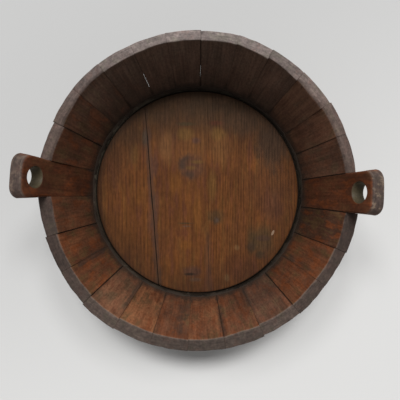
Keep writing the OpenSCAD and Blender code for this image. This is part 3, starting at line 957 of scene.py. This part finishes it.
# The strip's grid is finer this far past the lap and before the strip's end, in radians
FINE_PAST, FINE_BEFORE = 0.1, 0.45
RIVET_R, RIVET_H, RIVET_SUNK = 5.5 * MM, 2.6 * MM, 0.5 * MM
RIVET_RINGS, RIVET_AROUND = 9, 28
RIVET_SWELL, RIVET_DENT = 0.8, 0.35 * MM


def hoop_strip(node, seed, material):
    """One flat strip bent round the wall, its last stretch lapped over its first; gives its thickness."""
    p = points(node)
    low_z, high_z = p[:, 2].min(), p[:, 2].max()
    layer = (radii(p)[p[:, 2] > high_z - TINY].max() - wall_out(high_z)) / 2
    start, lap_to = bearing_span(p[radii(p) > wall_out(p[:, 2]) + 1.6 * layer])
    end = lap_to + 2 * math.pi
    us = np.concatenate((np.linspace(start, lap_to + FINE_PAST, 40)[:-1],
                         np.linspace(lap_to + FINE_PAST, end - FINE_BEFORE, 240)[:-1],
                         np.linspace(end - FINE_BEFORE, end, 60)))
    vs = steps(high_z - low_z, HOOP_PITCH, EDGE_STEPS * 0.35) + low_z
    grid, quads = box_grid(us, vs, HOOP_DEPTHS * layer)
    bearing, z, t = grid.T
    # The lapped end takes its lumps from higher up, so that it isn't like the end under it
    flat = round_the_axis(bearing, RIM_OUT, z + 0.3 * (bearing > start + 5))
    around = wall_out(z)
    low, high = triples(0 * z, low_z, 0), triples((end - start) * around, high_z, layer)
    box, way = rounded(triples((bearing - start) * around, z, t), low, high, HOOP_EDGE)
    bearing, z, t = start + box[:, 0] / around, box[:, 1], box[:, 2]
    lap_start = end - (lap_to - start)
    lift = layer * smooth_step(bearing, lap_start - LAP_RAMP, lap_start)
    off_middle = np.abs(z - (low_z + high_z) / 2) / (high_z - low_z) * 2
    z = z + off_middle * uneven(flat, seed, high=0.5, wide=40)
    r = wall_out(z) + lift + t + uneven(flat, seed + 1, high=0.12, wide=18) * (t > layer / 2)
    make_piece(f"{node}_iron", round_the_axis(bearing, r, z), quads, material, "hoop_iron", node,
               look=(0, 0, 2 * np.abs(way[:, 1] * way[:, 2])))
    return layer


def hoop_rivets(node, layer, seed, material):
    """Two hammered rivet heads on a hoop's lap."""
    p = points(node)
    turn = turned(np.arctan2(p[:, 1], p[:, 0]), np.mean(bearing_span(p)))
    base_h = 2 * layer * math.cos(math.atan(LEAN)) - RIVET_SUNK
    t = np.repeat(np.arange(RIVET_RINGS + 1) / RIVET_RINGS, RIVET_AROUND)
    a = np.tile(2 * math.pi * np.arange(RIVET_AROUND) / RIVET_AROUND, RIVET_RINGS + 1)
    around = triples(np.cos(a), np.sin(a), 0)
    co, faces = [], []
    for n, chosen in enumerate((turn < 0, turn > 0)):
        x, y, z = (p[chosen].min(0) + p[chosen].max(0)) / 2
        bearing = math.atan2(y, x)
        out = np.array([math.cos(bearing), math.sin(bearing), -LEAN])
        out /= np.linalg.norm(out)
        side = np.array([-math.sin(bearing), math.cos(bearing), 0])
        seat = np.array([wall_out(z) * math.cos(bearing), wall_out(z) * math.sin(bearing), z])
        spot = around * t[:, None] + [0, 0, n + seed]
        r = RIVET_R * np.cos(t * math.pi / 2) ** RIVET_SWELL * (1 + 0.07 * lumps(spot + around, 0.9, seed))
        h = base_h + (RIVET_H + RIVET_SUNK) * np.sin(t * math.pi / 2)
        h -= RIVET_DENT * np.maximum(0, lumps(spot, 0.5, seed + 3))
        co.append(seat + triples(r * np.cos(a), r * np.sin(a), h) @ [side, np.cross(out, side), out])
        base = n * len(t)
        crown = base + RIVET_RINGS * RIVET_AROUND
        for ring in range(base, crown, RIVET_AROUND):
            for k in range(RIVET_AROUND):
                near, far = ring + k, ring + (k + 1) % RIVET_AROUND
                faces.append((near, far, far + RIVET_AROUND, near + RIVET_AROUND))
        faces.append(range(crown, crown + RIVET_AROUND))
        faces.append(range(base, base + RIVET_AROUND)[::-1])
    make_piece(f"{node}_iron", np.concatenate(co), faces, material, "rivet_iron", node,
               look=(0, 0, np.tile(t, 2)))


# Marks on the bottom: centre, half width and height in mm, colour, share, turn in degrees and blur

DARK_GREY, OLIVE, PALE_GREY = (0.046, 0.029, 0.021), (0.048, 0.034, 0.017), (0.080, 0.055, 0.042)
PLUM, RUST, ORANGE = (0.064, 0.034, 0.029), (0.080, 0.027, 0.015), (0.165, 0.066, 0.015)
GOLD, TAN, CHIP = (0.135, 0.075, 0.022), (0.150, 0.082, 0.036), (0.29, 0.195, 0.13)
FAWN = (0.045, 0.026, 0.015)
LEFT_MARKS = [
    (-106, 108, 6, 20, (0.056, 0.047, 0.033), 0.6), (-96, -60, 6, 32, PLUM, 0.4),
    (-128, 76, 11, 22, GOLD, 0.4), (-118, -8, 8, 26, ORANGE, 0.35),
    (-168, 44, 28, 46, (0.066, 0.030, 0.015), 0.40), (-138, 112, 26, 24, FAWN, 0.4),
    (-150, 100, 36, 50, (0.066, 0.031, 0.015), 0.45), (-150, -70, 36, 50, (0.140, 0.053, 0.014), 0.45)]
MIDDLE_MARKS = [
    (0, 76, 62, 44, (0.165, 0.072, 0.026), 0.32), (-64, 88, 15, 36, (0.185, 0.088, 0.036), 0.45),
    (-65, -106, 32, 36, (0.076, 0.030, 0.014), 0.4), (-92, 152, 24, 18, FAWN, 0.4),
    (0, -38, 10, 46, ORANGE, 0.5), (-45, 17, 14, 24, ORANGE, 0.45), (-22, -107, 13, 11, ORANGE, 0.45),
    (-86, 54, 8, 26, PLUM, 0.5), (-83, -24, 7, 30, PLUM, 0.45), (-24, 116, 18, 14, GOLD, 0.5),
    (-23, 136, 19, 4.5, OLIVE, 0.75), (-3, 103, 9, 7, PLUM, 0.65), (-12, 50, 26, 28, PLUM, 0.5),
    (-25, 66, 12, 7, DARK_GREY, 0.8, 35, 0.9), (-31, 52, 8, 15, DARK_GREY, 0.9, 0, 0.9),
    (-16, 34, 15, 8, DARK_GREY, 0.75, -20, 0.9), (-1, 60, 14, 4, GOLD, 0.6, 0, 0.9),
    (-13, 48, 10, 4.5, GOLD, 0.6, 0, 0.9), (-25, -63, 15, 2, OLIVE, 0.7), (-22, -69, 10, 2.2, PALE_GREY, 0.5),
    (-30, -82, 16, 9, RUST, 0.4), (-10, -160, 20, 12, PLUM, 0.6), (-15, -165, 12, 3, DIRT_AND_SHADE, 0.8),
    (-4, -176, 13, 4.5, PALE_GREY, 0.5)]
RIGHT_MARKS = [
    (142, 6, 52, 50, (0.068, 0.029, 0.016), 0.5), (84, -92, 40, 52, (0.072, 0.030, 0.014), 0.35),
    (45, 84, 22, 38, (0.180, 0.082, 0.030), 0.4), (62, 170, 56, 14, (0.032, 0.020, 0.012), 0.5),
    (30, 12, 9, 36, GOLD, 0.45), (40, 116, 17, 14, GOLD, 0.5), (37, 138, 15, 5, RUST, 0.7),
    (150, -34, 24, 40, (0.080, 0.035, 0.024), 0.4), (85, -155, 45, 30, RUST, 0.4),
    (37, -50, 18, 16, OLIVE, 0.6), (38, -57, 7, 8, DARK_GREY, 0.7), (39, -57, 3, 4.5, PALE_GREY, 0.6),
    (130, -98, 24, 34, (0.074, 0.049, 0.025), 0.65), (109, -99, 12, 28, OLIVE, 0.6),
    (131, -93, 16, 6, PLUM, 0.5), (108, -110, 9, 10, DARK_GREY, 0.5),
    (125, -127, 11, 9, (0.032, 0.026, 0.017), 0.6), (79, -112, 6, 5.5, TAN, 0.75),
    # The marks at (95, 138) and (150, 92), dark at the back right, are dirt and painted shade
    (59, -172, 5.5, 8, TAN, 0.75), (95, 138, 46, 28, (0.046, 0.029, 0.019), 0.5),
    (150, 92, 38, 56, (0.048, 0.029, 0.019), 0.85)]
RIGHT_CHIPS = [(151, -82, 2.3, 5.8, CHIP, 0.95, -25, 0.15)]


# Put the tub together

stave_wood = stave_material("stave_wood", STAVE_TONES, end_shade=1.0, rub_and_highlight_share=0.30, olive_share=0.7)
ear_wood = stave_material("ear_wood", EAR_TONES, end_shade=0.80, rub_and_highlight_share=0.35, olive_share=0.3)
for n in range(len(TONES["back"])):
    for side in ("back", "front"):
        plain_stave(side, n, stave_wood)
ear_stave("right_ear_stave", tan=0.7, flare=-0.01, joints=(JOINTS["front"][-1], JOINTS["back"][0]),
          seed=31, material=ear_wood)
ear_stave("left_ear_stave", tan=0.2, flare=0.05, joints=(JOINTS["back"][-1], JOINTS["front"][0]),
          seed=32, material=ear_wood)
bottom_board("left_bottom_board", {1: OPEN_JOINT}, tone=0.42, seed=51,
             material=board_material("left_board_wood", 7.0 * MM, 0.5, 0.35, LEFT_MARKS))
bottom_board("middle_bottom_board", {-1: OPEN_JOINT, 1: TIGHT_JOINT}, tone=0.50, seed=52,
             material=board_material("middle_board_wood", 9.0 * MM, 0.3, 0.55, MIDDLE_MARKS))
bottom_board("right_bottom_board", {-1: TIGHT_JOINT}, tone=0.45, seed=53,
             material=board_material("right_board_wood", 5.4 * MM, 0.55, 0.3, RIGHT_MARKS, RIGHT_CHIPS))
pitch_bead(pitch_material())

hoop_iron, rivet_iron = iron_material("hoop_iron", 0.5), iron_material("rivet_iron", 0.8)
for n, hoop in enumerate(("upper_hoop", "lower_hoop")):
    thickness = hoop_strip(hoop, 70 + n, hoop_iron)
    hoop_rivets(f"{hoop}_rivets", thickness, 80 + n, rivet_iron)

dowels = frame["nodes"]["bottom_dowels"]
dowels.data.materials.clear()
dowels.data.materials.append(dowel_material())


# Floor, light and camera

FLOOR_SIZE = 60
# Lamps in pairs either side of the back's bearing: turn off it, lift and spread in degrees, and strength
BACK_BEARING = 90
LAMP_PAIRS = (8, 62, 10, 1.0), (32, 54, 14, 0.77)
PHOTO_PX, FOCAL_PX, SENSOR_WIDTH = 400, 420, 36
CAMERA_PLACE = 5 * MM, -16.3 * MM, 882 * MM


def studio_floor():
    bpy.ops.mesh.primitive_plane_add(size=FLOOR_SIZE)
    floor = bpy.context.object
    floor.name = "studio_floor"
    floor.data.materials.append(floor_material())


def soft_sun(bearing, lift, spread, strength):
    """A broad, even light from a bearing and a height above the floor, all in degrees."""
    light = bpy.data.lights.new("soft_sun", "SUN")
    light.angle, light.energy = math.radians(spread), strength
    lamp = bpy.data.objects.new("soft_sun", light)
    turn, up = math.radians(bearing), math.radians(lift)
    from_lamp = Vector((-math.cos(turn) * math.cos(up), -math.sin(turn) * math.cos(up), -math.sin(up)))
    lamp.rotation_euler = from_lamp.to_track_quat("-Z", "Y").to_euler()
    bpy.context.scene.collection.objects.link(lamp)


def studio_world(seen, lights):
    """An even dim light from all round, seen by the camera and in reflections as a pale wall."""
    g = Graph("studio", "worlds")
    path = g.node("LightPath", {}).outputs
    rays = g.most(*(path[f"Is {kind} Ray"] for kind in ("Camera", "Glossy", "Transmission")))
    g.set("Background", Color=(1, 1, 1), Strength=g.span(rays, lights, seen))
    bpy.context.scene.world = g.owner


def photo_camera():
    data = bpy.data.cameras.new("photo_camera")
    data.sensor_width = SENSOR_WIDTH
    data.lens = SENSOR_WIDTH * FOCAL_PX / PHOTO_PX
    camera = bpy.data.objects.new("photo_camera", data)
    camera.location = CAMERA_PLACE
    bpy.context.scene.collection.objects.link(camera)
    bpy.context.scene.camera = camera


studio_floor()
for off_middle, lift, spread, strength in LAMP_PAIRS:
    soft_sun(BACK_BEARING - off_middle, lift, spread, strength)
    soft_sun(BACK_BEARING + off_middle, lift, spread, strength)
studio_world(seen=0.70, lights=0.24)
photo_camera()
bpy.context.scene.view_settings.view_transform = "Standard"
